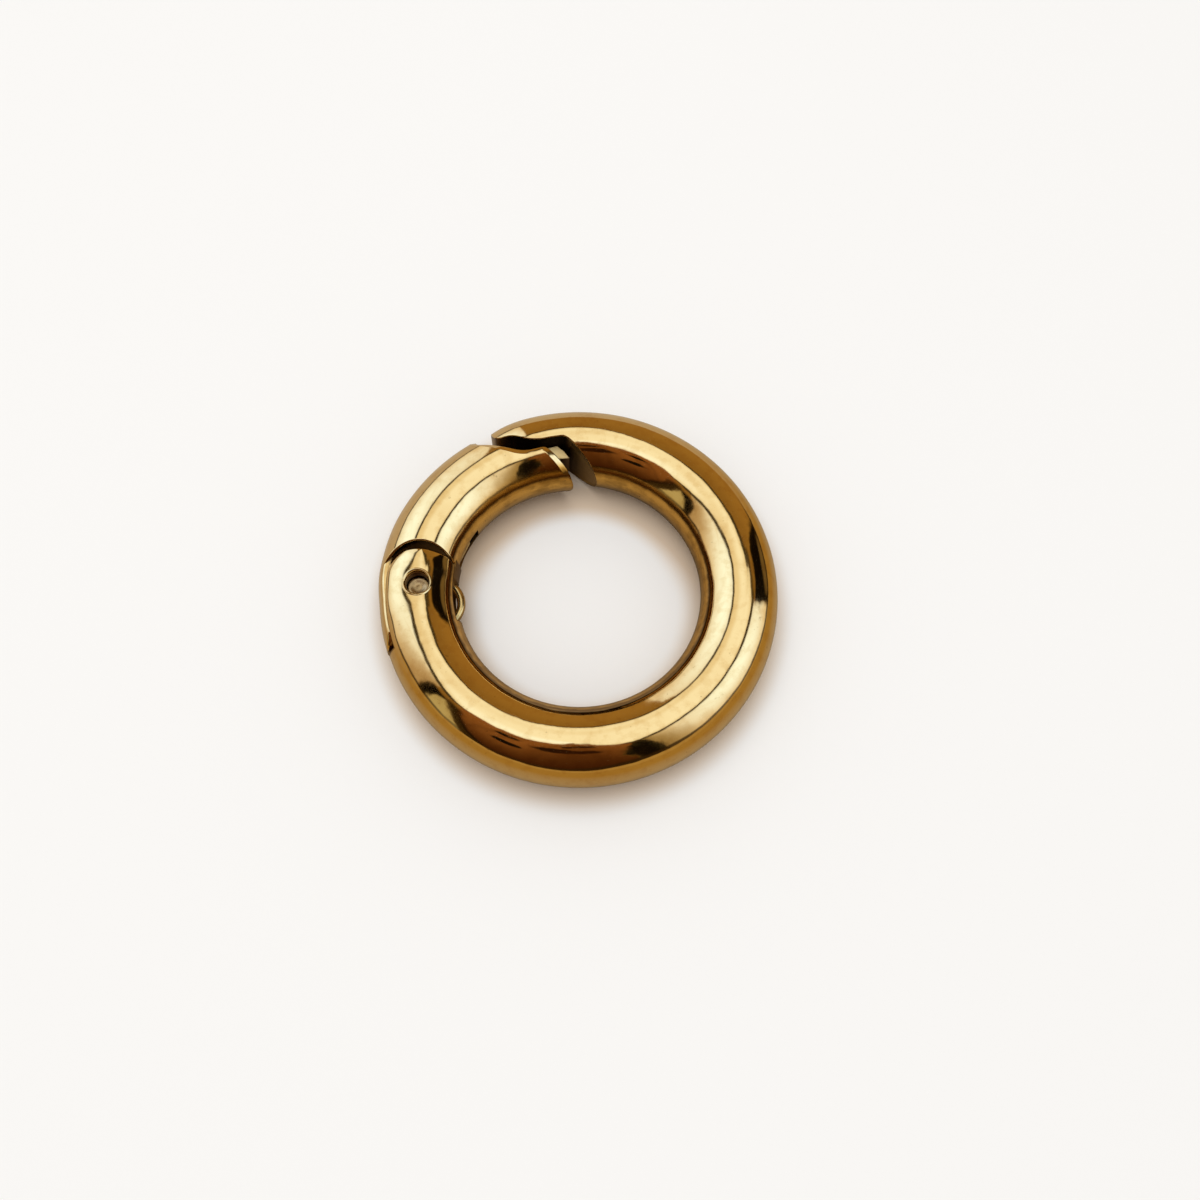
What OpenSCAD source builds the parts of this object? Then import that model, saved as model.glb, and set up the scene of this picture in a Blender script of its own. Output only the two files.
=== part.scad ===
// Spring gate ring: a round metal ring whose upper left quarter is a sprung gate.
// The ring lies flat. X and Y are its plan, Z is up and the origin is the ring's centre on the floor.
// Angles are counted anticlockwise from +X, as seen from above.

/* [Ring] */
// Outside diameter of the ring
ring_od = 25; // [24.5:0.1:25.5]
// Thickness of the round ring
tube_d = 4.85; // [4.75:0.05:4.95]

/* [Gate] */
// Thickness of the round gate
gate_tube_d = 4.91; // [4.85:0.01:4.95]
// How far the gate's arc sits to the left of the ring's
gate_left = 0.25; // [0.2:0.01:0.3]
// How far the gate's arc sits towards the front of the ring's
gate_front = 0.37; // [0.3:0.01:0.4]
// Clearance between the gate's underside and the floor
gate_lift = 0.01; // [0:0.01:0.05]

/* [Hinge] */
// Angle of the pin round the ring
pin_angle = 184.15; // [183.5:0.05:184.5]
// Distance from the ring's centre to the pin
pin_orbit = 9.956; // [9.9:0.01:10]
// Diameter of the hinge pin
pin_d = 1.3; // [1.2:0.01:1.32]
// Diameter of the pin's hole through ears and tongue
bore_d = 1.39; // [1.38:0.01:1.45]
// Depth of the pin's top end below the ring's top
pin_recess = 0.9; // [0.7:0.05:1]
// Depth of the pin's lower end above the floor
pin_foot = 0.35; // [0.25:0.05:0.5]
// Width of the countersink at the pin's hole
countersink_d = 1.86; // [1.6:0.02:2]
// Radius, round the pin, of the hollow end of the gate
gate_end_r = 2.92; // [2.9:0.01:3]
// Radius of the crowned ends of the ears
ear_crown_r = 6.5; // [6:0.1:8]
// Distance from the pin to the top of that crown
ear_reach = 2.2; // [2:0.05:2.25]
// Thickness of the tongue in the slot
tongue_t = 2; // [1.8:0.05:2.1]
// Radius of the tongue's eye round the pin
eye_r = 1.6; // [1.4:0.05:1.65]
// Thickness of the tail strip on the outside
tail_t = 2.8; // [2.6:0.05:2.9]
// Angle at which the tail ends
tail_end = 201.8; // [200:0.1:202]
// Corner radius of the tail's end
tail_corner_r = 0.95; // [0.6:0.05:1.2]
// Gap all round the tongue and the tail
slot_gap = 0.05; // [0.04:0.01:0.08]
// Gap beyond the tail's end
tail_gap = 0.24; // [0.15:0.01:0.4]

/* [Nose] */
// Distance from the pin to the slanting wall of the ring's nose, as a share of the centre radius
wall_share = 1.345; // [1.34:0.001:1.35]
// Radius of the hollow that takes the gate's shoulder
hollow_r = 1.1; // [1:0.05:1.2]
// Depth of that hollow's crest below the centre radius
hollow_drop = 0.315; // [0.3:0.005:0.33]
// Radius of the bump between the hollow and the lip
bump_r = 2.5; // [2.3:0.1:2.7]
// Depth of the bump's foot below the centre radius
bump_drop = 0.685; // [0.65:0.005:0.7]
// Radius of the lip's inner face
lip_r = 3; // [2.8:0.1:3.2]
// Depth of the lip's inner crest below the centre radius
lip_drop = 0.255; // [0.24:0.005:0.27]
// Radius of the lip's rounded tip
lip_tip_r = 0.58; // [0.5:0.02:0.6]
// Free gap between the gate's slanting end and the ring's wall
nose_gap = 1.42; // [1.3:0.01:1.5]
// Radius of the gate's corner at its slanting end
corner_r = 0.45; // [0.4:0.05:0.5]
// Depth of that corner's crest below the centre radius
corner_drop = 1.135; // [1.1:0.005:1.15]
// Radius of the gate's hollow shoulder
shoulder_r = 2.3; // [2.1:0.1:2.5]
// Depth of the shoulder's foot below the centre radius
shoulder_drop = 1.465; // [1.45:0.005:1.5]
// Slope of the shoulder where it runs out towards the step
shoulder_slope = 13.5; // [12:0.5:15]
// Length of that straight run
shoulder_run = 2.3; // [2:0.05:2.4]
// Radius in the corner of the step
step_r = 0.5; // [0.4:0.05:0.6]
// Turn of the step's face away from the shoulder
step_turn = 58; // [50:1:70]
// Length of the key on the gate's end
key_len = 0.86; // [0.7:0.01:0.9]
// Thickness of the key
key_t = 2.1; // [1.8:0.05:2.2]
// Radius of the key's inner side round the ring's centre
key_in_r = 8.92; // [8.8:0.02:9]
// Gap between the key and the hollow that stops it
key_gap = 0.06; // [0.05:0.01:0.1]

/* [Spring] */
// Thickness of the spring wire
wire_d = 0.42; // [0.36:0.02:0.46]
// Radius of the spring's bow, to the middle of the wire
bow_r = 1.54; // [1.45:0.01:1.6]
// Place of the bow's centre to the right of the pin
bow_right = 1.035; // [1:0.01:1.07]
// Place of the bow's centre in front of the pin
bow_front = 0.567; // [0.5:0.01:0.6]
// Half the bow's sweep on the gate's side
bow_gate = 62; // [60:1:64]
// Half the bow's sweep on the ring's side
bow_ring = 55; // [50:1:58]
// Radius of the bend between the bow and the gate's leg
bend_r = 0.4; // [0.35:0.01:0.45]
// Turn of that bend
bend_turn = 83; // [80:1:86]
// Length of the leg in the gate's channel
gate_leg = 2.85; // [2:0.05:3]
// Length of the leg in the ring's slot
ring_leg = 1.3; // [1:0.05:1.4]
// Width of the gate's channel for the spring
channel_w = 0.7; // [0.6:0.02:0.8]
// Depth of that channel
channel_depth = 1.05; // [1:0.01:1.1]
// Angle, round the gate, at which the channel starts
channel_start = 150.5; // [148:0.5:152]

/* [Hidden] */

gold = [0.86, 0.68, 0.36];
steel = [0.72, 0.66, 0.52];
reach = 20;
arc_steps = 7;

tube_r = tube_d / 2;
centre_r = ring_od / 2 - tube_r;
mid_z = tube_r;
gate_r = gate_tube_d / 2;
gate_c = [-gate_left, -gate_front];
gate_z = gate_r + gate_lift;
pin_c = pin_orbit * [cos(pin_angle), sin(pin_angle)];

// Places on the nose: each arc's centre follows from the one before it, which it touches
function beside(c, span, y) = [c.x - sqrt(span ^ 2 - (y - c.y) ^ 2), y];
function towards(a, b) = atan2(b.y - a.y, b.x - a.x);
function on_circle(c, r, a) = c + r * [cos(a), sin(a)];
function arc(c, r, from, to, steps = arc_steps, first = 0) =
    [for (i = [first : steps]) on_circle(c, r, from + (to - from) * i / steps)];

wall_r = wall_share * centre_r;
hollow_y = centre_r - hollow_drop - hollow_r;
hollow_c = [pin_c.x + sqrt((wall_r - hollow_r) ^ 2 - (hollow_y - pin_c.y) ^ 2), hollow_y];
bump_c = beside(hollow_c, hollow_r + bump_r, centre_r - bump_drop + bump_r);
lip_c = beside(bump_c, bump_r + lip_r, centre_r - lip_drop - lip_r);
tip_c = beside([0, 0], ring_od / 2 - lip_tip_r, centre_r - lip_drop + lip_tip_r);

end_r = wall_r - nose_gap;
corner_y = centre_r - corner_drop - corner_r;
corner_c = [pin_c.x + sqrt((end_r - corner_r) ^ 2 - (corner_y - pin_c.y) ^ 2), corner_y];
shoulder_c = beside(corner_c, corner_r + shoulder_r, centre_r - shoulder_drop + shoulder_r);
shoulder_out = on_circle(shoulder_c, shoulder_r, 270 - shoulder_slope);
step_in = on_circle(shoulder_out, shoulder_run, 180 - shoulder_slope);
step_c = on_circle(step_in, step_r, 90 - shoulder_slope);
step_a = 270 - shoulder_slope;

// Heights and radii at the hinge
tongue_in_r = centre_r + 1.125;
tail_in_r = centre_r + 1.625;
tall_eye_r = 1.7;
turning_r = 1.85;
sweep_r = 3.3;
crown_c = [pin_c.x + 0.03, pin_c.y + ear_reach - ear_crown_r];

// Places on the spring
bow_c = pin_c + [bow_right, -bow_front];
bend_c = on_circle(bow_c, bow_r + bend_r, bow_gate);
leg_in = on_circle(bend_c, bend_r, 180 + bow_gate - bend_turn);
leg_end = on_circle(leg_in, gate_leg, bow_gate + 90 - bend_turn);
seat_in = on_circle(bow_c, bow_r, -bow_ring);
seat_end = on_circle(seat_in, ring_leg, -bow_ring - 90);
spring_z = (mid_z + gate_z) / 2;

// A full round ring with its tube's middle at a given height
module round_ring(r, tube, z) {
    translate([0, 0, z])
        rotate_extrude($fn = 120)
            translate([r, 0])
                circle(r = tube, $fn = 48);
}

// A flat layer of a given thickness, centred on the ring's middle plane
module layer(t) {
    translate([0, 0, mid_z - t / 2])
        linear_extrude(t)
            children();
}

// The part of the plan between two angles
module sector(from, to) {
    polygon([
        [0, 0],
        on_circle([0, 0], reach, from),
        on_circle([0, 0], reach, (from + to) / 2),
        on_circle([0, 0], reach, to)
    ]);
}

// The plan outside a radius, between two angles
module outer_band(r, from, to) {
    difference() {
        sector(from, to);
        circle(r, $fn = 180);
    }
}

// The ring's nose in plan: round the lip's tip, along its inner face, over the bump,
// through the hollow and down the slanting wall
function nose_line(gap) = concat(
    arc(tip_c, lip_tip_r + gap, 150, 265),
    arc(lip_c, lip_r - gap, 92, towards(lip_c, bump_c), 4),
    arc(bump_c, bump_r + gap, 180 + towards(lip_c, bump_c), 360 + towards(bump_c, hollow_c), first = 1),
    arc(hollow_c, hollow_r - gap, 180 + towards(bump_c, hollow_c), towards(pin_c, hollow_c), first = 1),
    arc(pin_c, wall_r - gap, towards(pin_c, hollow_c), 30, first = 1)
);

// The gate's nose in plan: out of the step, along the shoulder, round the corner
// and down the slanting end
function gate_line() = concat(
    [on_circle(on_circle(step_c, step_r, step_a - step_turn), 3, step_a - step_turn - 90)],
    arc(step_c, step_r, step_a - step_turn, step_a),
    arc(shoulder_c, shoulder_r, 270 - shoulder_slope, 360 + towards(shoulder_c, corner_c)),
    arc(corner_c, corner_r, 180 + towards(shoulder_c, corner_c), towards(pin_c, corner_c), first = 1),
    arc(pin_c, end_r, towards(pin_c, corner_c), 30, first = 1)
);

// The plan that the ring leaves free for the gate
module gate_space() {
    polygon(concat(
        nose_line(0),
        [[-2, 0]],
        arc(crown_c, ear_crown_r, 62, 119, 14),
        [[-reach, 2], [-reach, reach], [-9, reach]]
    ));
}

// The plan of the gate's round part, before its hollow hinge end is cut
module gate_plan() {
    polygon(concat(
        gate_line(),
        [[-2, 1], [-7, pin_c.y + 1.2], [-13.5, pin_c.y + 1.2], [-reach, 6], [-reach, reach]]
    ));
}

// The tongue in plan: an eye round the pin, joined to the gate, with a heel on the inner side
module tongue_plan() {
    translate(pin_c)
        circle(eye_r, $fn = 96);
    polygon([
        [pin_c.x - 3, pin_c.y + 3.2],
        [pin_c.x + 1.2, pin_c.y + 3.2],
        [pin_c.x + 3, pin_c.y + 1.25],
        [pin_c.x + 3, pin_c.y + 0.85],
        [pin_c.x + 2.2, pin_c.y + 0.78],
        [pin_c.x + 1.45, pin_c.y + 0.5],
        [pin_c.x, pin_c.y + 0.1],
        [pin_c.x - 3, pin_c.y + 0.1]
    ]);
}

// The slot in plan that the tongue turns in, down to the slanting seat of the spring
module slot_plan() {
    translate(pin_c)
        circle(turning_r, $fn = 96);
    polygon([
        [pin_c.x - 3.5, pin_c.y + 4],
        [pin_c.x + 3.8, pin_c.y + 4],
        [pin_c.x + 3.8, seat_in.y + 0.83],
        seat_end + [0.02, -0.42],
        seat_end + [-0.45, 0.1],
        [pin_c.x, pin_c.y],
        [pin_c.x - 3.5, pin_c.y]
    ]);
}

// The tail's side, seen along a radius: its end has rounded corners
module tail_end_cut(end, t, corner) {
    tip = centre_r * sin(end - pin_angle);
    rotate([0, 0, pin_angle])
        translate([0, 0, mid_z])
            rotate([90, 0, 90])
                linear_extrude(reach)
                    polygon(concat(
                        [[-reach, -t / 2]],
                        arc([tip - corner, corner - t / 2], corner, -90, 0),
                        arc([tip - corner, t / 2 - corner], corner, 0, 90),
                        [[-reach, t / 2]]
                    ));
}

// The tail: a strip on the outside of the ring that runs past the pin
module tail() {
    intersection() {
        round_ring(centre_r, gate_r, mid_z);
        union() {
            layer(tail_t)
                outer_band(tail_in_r + slot_gap, pin_angle - 14, tail_end + 3);
            layer(tongue_t)
                outer_band(tongue_in_r + slot_gap, pin_angle - 14, tail_end + 3);
        }
        tail_end_cut(tail_end, tail_t, tail_corner_r);
    }
}

// The key on the gate's slanting end, which stops against the hollow in the ring's nose
module key() {
    translate([0, 0, gate_z - key_t / 2])
        linear_extrude(key_t)
            difference() {
                intersection() {
                    translate(pin_c)
                        circle(end_r + key_len, $fn = 180);
                    polygon(concat(nose_line(key_gap), [[-2, 0], [-4, 6]]));
                    translate([-2.9, 8])
                        square([4, 3]);
                }
                translate(pin_c)
                    circle(end_r - 0.6, $fn = 180);
                circle(key_in_r, $fn = 180);
            }
}

// The channel on the gate's inner side that takes the spring's leg
module channel() {
    translate([gate_c.x, gate_c.y, spring_z - channel_w / 2])
        linear_extrude(channel_w)
            difference() {
                intersection() {
                    circle(centre_r - gate_r + channel_depth, $fn = 180);
                    sector(channel_start, 200);
                }
                circle(4, $fn = 60);
            }
}

module ring_body() {
    color(gold)
        difference() {
            round_ring(centre_r, tube_r, mid_z);
            translate([0, 0, -1])
                linear_extrude(tube_d + 2)
                    gate_space();
            layer(tongue_t + 2 * slot_gap)
                slot_plan();
            layer(tongue_t + 2 * slot_gap)
                outer_band(tongue_in_r, pin_angle - 20, tail_end + tail_gap / centre_r * 47);
            layer(tail_t + 2 * slot_gap)
                outer_band(tail_in_r, pin_angle - 20, tail_end + tail_gap / centre_r * 47);
            layer(tail_t + 2 * slot_gap)
                translate(pin_c)
                    difference() {
                        intersection() {
                            circle(sweep_r, $fn = 96);
                            translate([-4, -0.35])
                                square([5.5, 5]);
                        }
                        circle(tall_eye_r, $fn = 96);
                    }
            translate([pin_c.x, pin_c.y, -1])
                cylinder(d = bore_d, h = tube_d + 2, $fn = 96);
            translate([pin_c.x, pin_c.y, tube_d - 0.2])
                cylinder(d1 = bore_d, d2 = 2 * countersink_d - bore_d, h = 0.4, $fn = 96);
        }
}

module gate() {
    color(gold)
        difference() {
            union() {
                difference() {
                    intersection() {
                        translate(gate_c)
                            round_ring(centre_r, gate_r, gate_z);
                        translate([0, 0, -1])
                            linear_extrude(gate_tube_d + 2)
                                gate_plan();
                    }
                    translate([pin_c.x, pin_c.y, -1])
                        cylinder(r = gate_end_r, h = gate_tube_d + 2, $fn = 180);
                }
                intersection() {
                    round_ring(centre_r, tube_r - 0.02, mid_z);
                    layer(tongue_t)
                        tongue_plan();
                }
                tail();
                key();
            }
            channel();
            translate([pin_c.x, pin_c.y, -1])
                cylinder(d = bore_d, h = gate_tube_d + 2, $fn = 96);
        }
}

module hinge_pin() {
    top = tube_d - pin_recess;
    bevel = 0.15;
    color(steel)
        translate([pin_c.x, pin_c.y, 0]) {
            translate([0, 0, pin_foot])
                cylinder(d1 = pin_d - 2 * bevel, d2 = pin_d, h = bevel, $fn = 96);
            translate([0, 0, pin_foot + bevel])
                cylinder(d = pin_d, h = top - pin_foot - 2 * bevel, $fn = 96);
            translate([0, 0, top - bevel])
                cylinder(d1 = pin_d, d2 = pin_d - 2 * bevel, h = bevel, $fn = 96);
        }
}

// A round wire along a flat line of points
module wire(line, d, z, sides = 10) {
    last = len(line) - 1;
    heading = [for (i = [0 : last]) towards(line[max(i - 1, 0)], line[min(i + 1, last)])];
    rings = [for (i = [0 : last], k = [0 : sides - 1])
        let (a = 360 * k / sides, across = d / 2 * cos(a))
        [line[i].x - across * sin(heading[i]), line[i].y + across * cos(heading[i]), z + d / 2 * sin(a)]];
    sleeve = [for (i = [0 : last - 1], k = [0 : sides - 1])
        let (next = (k + 1) % sides)
        [i * sides + k, i * sides + next, (i + 1) * sides + next, (i + 1) * sides + k]];
    ends = [
        [for (k = [sides - 1 : -1 : 0]) k],
        [for (k = [0 : sides - 1]) last * sides + k]
    ];
    polyhedron(rings, concat(sleeve, ends), convexity = 4);
}

module gate_spring() {
    color(steel)
        wire(concat(
            [leg_end],
            arc(bend_c, bend_r, 180 + bow_gate - bend_turn, 180 + bow_gate, 8),
            arc(bow_c, bow_r, bow_gate - 4, -bow_ring, 24),
            [seat_end]
        ), wire_d, spring_z);
}

ring_body();
gate();
hinge_pin();
gate_spring();
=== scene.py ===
import math

import bmesh
import bpy
import numpy as np
from mathutils import Matrix, Vector


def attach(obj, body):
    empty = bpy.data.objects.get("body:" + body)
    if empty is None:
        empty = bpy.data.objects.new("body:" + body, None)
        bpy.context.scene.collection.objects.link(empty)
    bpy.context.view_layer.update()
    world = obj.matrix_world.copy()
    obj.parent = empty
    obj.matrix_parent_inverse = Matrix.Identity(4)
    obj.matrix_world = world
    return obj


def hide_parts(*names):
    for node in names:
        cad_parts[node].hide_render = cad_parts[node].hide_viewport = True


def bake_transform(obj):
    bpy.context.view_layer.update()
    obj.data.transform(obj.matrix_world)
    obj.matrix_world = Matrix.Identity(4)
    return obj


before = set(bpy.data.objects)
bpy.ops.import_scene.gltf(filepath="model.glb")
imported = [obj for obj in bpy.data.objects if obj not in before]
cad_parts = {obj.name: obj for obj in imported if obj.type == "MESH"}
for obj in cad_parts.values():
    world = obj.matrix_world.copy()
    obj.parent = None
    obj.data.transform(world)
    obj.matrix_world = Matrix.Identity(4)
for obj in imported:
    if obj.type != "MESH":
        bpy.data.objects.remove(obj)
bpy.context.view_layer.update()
print("frame loaded")

mm = 0.001  # the surfaces below are worked out in millimetres

# The ring and its gate are two round tubes bent to nearly the same circle
ringTube = {"centre": (0.0, 0.0), "bend": 10.075, "radius": 2.425, "middle": 2.425}
gateTube = {"centre": (-0.25, -0.37), "bend": 10.075, "radius": 2.455, "middle": 2.465}
gateEase = {"share": 0.4, "fromDeg": 156, "toDeg": 174}  # its circle eases back towards the ring's
pinPlan = np.array([-9.930, -0.7205])  # the hinge pin's place in plan
pinDeg = 184.15                        # its angle round the ring
pinWay = (-0.9974, -0.0724)            # the way to it from the ring's middle


def smoothStep(x, low, high):
    # nought up to low, one from high on, and an even S between them
    t = np.clip((np.asarray(x, float) - low) / (high - low), 0, 1)
    return t * t * (3 - 2 * t)


def planArc(centre, radius, fromDeg, toDeg, count=40):
    # points on a circle in plan, between two angles
    a = np.radians(np.linspace(fromDeg, toDeg, count))
    return np.asarray(centre) + radius * np.stack([np.cos(a), np.sin(a)], 1)


def evenLine(line, count):
    # the same line, with its points an even distance apart
    run = np.r_[0, np.cumsum(np.hypot(*np.diff(line, axis=0).T))]
    want = np.linspace(0, run[-1], count)
    return np.stack([np.interp(want, run, line[:, 0]), np.interp(want, run, line[:, 1])], 1)


def straight(a, b, count):
    # straight lines from each point of one border to its twin on another
    t = np.linspace(0, 1, count)[None, :, None]
    return a[:, None] * (1 - t) + b[:, None] * t


def tubeCentre(tube, theta):
    # the gate's circle eases back towards the ring's as it nears the hinge
    ease = 1 - gateEase["share"] * smoothStep(np.degrees(theta), gateEase["fromDeg"], gateEase["toDeg"])
    return tube["centre"][0] * ease, tube["centre"][1] * ease


# How far the ring's skin lies under the plain tube, in millimetres
ringWearShape = {
    "lipFrom": 108.5, "lipThin": 0.030, "lipReach": 12,   # the lip thins towards its tip, from this angle on
    "lipTo": 2.4, "earArc": (2.8, 3.5),                   # where the lip and the ears lie, in radians
    "earEnd": 0.04, "earInner": 0.06, "earFrom": 0.9,     # the ears' ends fall away, faster on the inner side
    "earCorner": 0.42, "cornerFrom": 2.0, "earMost": 0.4, # more at their outer corners, up to a limit
    "dish": 0.21,                                         # lean of the skin beside the pin, in radians
}


def fromPin(theta, phi):
    # a skin point's place from the pin in plan: outwards from the ring's middle, and along the bend
    reach = ringTube["bend"] + ringTube["radius"] * np.cos(phi)
    x, y = reach * np.cos(theta) - pinPlan[0], reach * np.sin(theta) - pinPlan[1]
    return pinWay[0] * x + pinWay[1] * y, pinWay[1] * x - pinWay[0] * y


def ringWear(theta, phi):
    # a cube of the distance along the lip, and squares of the distances along and beyond the ears' ends
    w = ringWearShape
    theta = np.asarray(theta) % (2 * np.pi)
    lip = np.maximum(theta - math.radians(w["lipFrom"]), 0) * w["lipReach"] * (theta < w["lipTo"])
    outwards, along = fromPin(theta, phi)
    far = np.hypot(outwards, along)
    end = w["earEnd"] + w["earInner"] * smoothStep(-outwards, 0.2, 1.4)
    corner = w["earCorner"] * smoothStep(along, 0.3, 1.2) * smoothStep(outwards, -2.2, 1.5)
    ear = end * np.maximum(along - w["earFrom"], 0) ** 2 + corner * np.maximum(far - w["cornerFrom"], 0) ** 2
    ear = np.minimum(ear, w["earMost"]) * ((theta > w["earArc"][0]) & (theta < w["earArc"][1]))
    return w["lipThin"] * lip ** 3 * (0.2 + 0.8 * np.sin(phi) ** 2) + ear


def ringLean(theta, phi):
    # how far the skin beside the pin leans towards the ring's inside
    outwards, along = fromPin(theta, phi)
    return (ringWearShape["dish"] * smoothStep(outwards, 0.0, 1.0) * (1 - smoothStep(outwards, 1.2, 2.4))
            * (1 - smoothStep(np.abs(along), 0.4, 2.6)))


ringTube["wear"], ringTube["lean"] = ringWear, ringLean


def tubePoint(tube, theta, phi, sunk=0.0):
    # round the bend by theta, then round the tube by phi, sunk under its skin
    cx, cy = tubeCentre(tube, theta)
    r = tube["radius"] - sunk
    if "wear" in tube:
        r = r - tube["wear"](theta, phi)
    reach = tube["bend"] + r * np.cos(phi)
    return np.stack([cx + reach * np.cos(theta), cy + reach * np.sin(theta),
                     tube["middle"] + r * np.sin(phi)], -1)


def tubeNormal(tube, theta, phi):
    # the plain tube's normal, tilted by how fast the wear changes along both directions
    ct, st, cp, sp = np.cos(theta), np.sin(theta), np.cos(phi), np.sin(phi)
    plain = np.stack([cp * ct, cp * st, sp], -1)
    if "wear" not in tube:
        return plain
    step = 1e-4
    wear = tube["wear"]
    alongBend = (wear(theta + step, phi) - wear(theta - step, phi)) / (2 * step)
    alongTube = (wear(theta, phi + step) - wear(theta, phi - step)) / (2 * step)
    lean = alongTube / tube["radius"] + tube["lean"](theta, phi)
    bendWay = np.stack([-st, ct, 0 * ct], -1) * (alongBend / (tube["bend"] + tube["radius"] * cp))[..., None]
    tilted = plain + bendWay + np.stack([-sp * ct, -sp * st, cp], -1) * lean[..., None]
    return tilted / np.linalg.norm(tilted, axis=-1, keepdims=True)


def bendAngle(tube, x, y):
    # the angle round the bend of a place in plan, and its distance from the bend's centre
    theta = np.arctan2(y, x) % (2 * np.pi)
    for _ in range(3):
        cx, cy = tubeCentre(tube, theta)
        theta = np.arctan2(y - cy, x - cx) % (2 * np.pi)
    return theta, np.hypot(x - cx, y - cy)


def tubeAngles(tube, point):
    # the two angles of a point in space
    theta, reach = bendAngle(tube, point[..., 0], point[..., 1])
    return theta, np.arctan2(point[..., 2] - tube["middle"], reach - tube["bend"])


def cutRows(tube, line, phiWanted=None, rows=49):
    # where an upright cut along a line in plan meets the top half of a tube, from its outer side to its
    # inner: the line's distance from the bend's centre gives phi, and its angle gives theta
    theta, reach = bendAngle(tube, *evenLine(line, 4000).T)
    reach = np.minimum.accumulate(reach) - np.linspace(0, 1e-4, len(reach))
    s = np.arange(len(reach), dtype=float)
    bend, r = tube["bend"], tube["radius"]
    sEven = np.interp(-(bend + r * np.cos(np.linspace(0, np.pi, 2000))), -reach, s)
    inside = (reach < bend + r) & (reach > bend - r)
    sAll = np.unique(np.r_[s[inside], sEven])
    sAll = sAll[(sAll >= sEven[0]) & (sAll <= sEven[-1])]
    phi = np.arccos(np.clip((np.interp(sAll, s, reach) - bend) / r, -1, 1))
    phi[0], phi[-1] = 0, np.pi
    theta = np.interp(sAll, s, theta)
    if phiWanted is not None:
        return np.interp(phiWanted, phi, theta), phiWanted
    run = np.r_[0, np.cumsum(np.linalg.norm(np.diff(tubePoint(tube, theta, phi), axis=0), axis=1))]
    want = np.linspace(0, run[-1], rows)
    return np.interp(want, run, theta), np.interp(want, run, phi)


def endProfile(edge, steps, bevel=0.0, bevelDeg=0.0):
    # the edge between a skin and its upright end, as distance back from the end, depth under the skin and
    # turn of the normal: a shallow bevel comes first, where there is one, then a quarter circle
    lean = math.radians(bevelDeg)
    turn = np.linspace(lean, np.pi / 2, steps)
    back, depth = edge * (1 - np.sin(turn)), edge * (1 - np.cos(turn)) - edge * (1 - math.cos(lean))
    if bevel:
        run = bevel * np.array([1, 0.92, 0.84, 0.55, 0.25]) + back[0]
        down = (bevel + back[0] - run) * math.tan(lean)
        down[1] *= 0.6
        turn = np.r_[[0, lean * 0.55, lean, lean, lean], turn]
        back, depth = np.r_[run, back], np.r_[down, depth + bevel * math.tan(lean)]
    return back, depth, turn


def roundedEnd(tube, theta, phi, profile, inward, share=1.0):
    # columns of points that turn from a tube's skin into its upright end along a profile: the angles of the
    # first column, then the points and normals of all; inward is the sign of theta that leads back into the
    # tube, and share scales the profile, row by row where it is a list
    share = np.broadcast_to(share, theta.shape)
    sharp = tubePoint(tube, theta, phi)
    along = np.gradient(sharp, axis=0)
    along /= np.linalg.norm(along, axis=1)[:, None]
    normal = tubeNormal(tube, theta, phi)
    back = np.cross(normal, along)
    back /= np.linalg.norm(back, axis=1)[:, None]
    towards = np.stack([-np.sin(theta), np.cos(theta), 0 * theta], 1) * inward
    back *= np.sign((back * towards).sum(1))[:, None]
    least = np.arange(len(theta)) * 3e-4  # each row lies a little further round the tube than the one before
    points, normals, angles = [], [], []
    for away, depth, turn in zip(*profile):
        th, ph = tubeAngles(tube, sharp + back * (away * share)[:, None])
        ph = np.maximum.accumulate(np.clip(ph, 0, np.pi) - least) + least
        ph[0], ph[-1] = 0, np.pi
        points.append(tubePoint(tube, th, ph, depth * share))
        normals.append(tubeNormal(tube, th, ph) * np.cos(turn) - back * np.sin(turn))
        angles.append((th, ph))
    return angles[0], np.stack(points, 1), np.stack(normals, 1)


def stretches(tube, borders, shares):
    # points and normals from border to border of angles: theta runs evenly, and phi eases into the next
    thetas, phis = [], []
    for first, second, t in zip(borders, borders[1:], shares):
        theta0, phi0, theta1, phi1 = (np.reshape(v, (-1, 1)) for v in (*first, *second))
        ease = t * t * (3 - 2 * t)
        phis.append(phi0 * (1 - ease) + phi1 * ease)
        thetas.append(theta0 * (1 - t) + theta1 * t + 0 * phis[-1])
    theta, phi = np.concatenate(thetas, 1), np.concatenate(phis, 1)
    return tubePoint(tube, theta, phi), tubeNormal(tube, theta, phi)


def mirrored(grid, middle):
    # the same grid turned over about the tube's middle plane
    out = grid.copy()
    out[..., 2] = 2 * middle - out[..., 2]
    return out


def bothHalves(grids, middle):
    # the same grids once more, turned over
    return grids + [(mirrored(points, middle), None if known is None else known * [1, 1, -1], wall)
                    for points, known, wall in grids]


def uprightEnd(border, middle, steps=7):
    # straight upright lines from a border on the top half to its twin underneath
    return straight(border, mirrored(border, middle), steps)


def readAll(items, field, width=1, kind=float):
    # one value or vector of every item, as an array
    values = np.empty(len(items) * width, kind)
    items.foreach_get(field, values)
    return values.reshape(-1, width) if width > 1 else values


def newObject(name, data):
    made = bpy.data.objects.new(name, data)
    bpy.context.scene.collection.objects.link(made)
    return made


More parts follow.
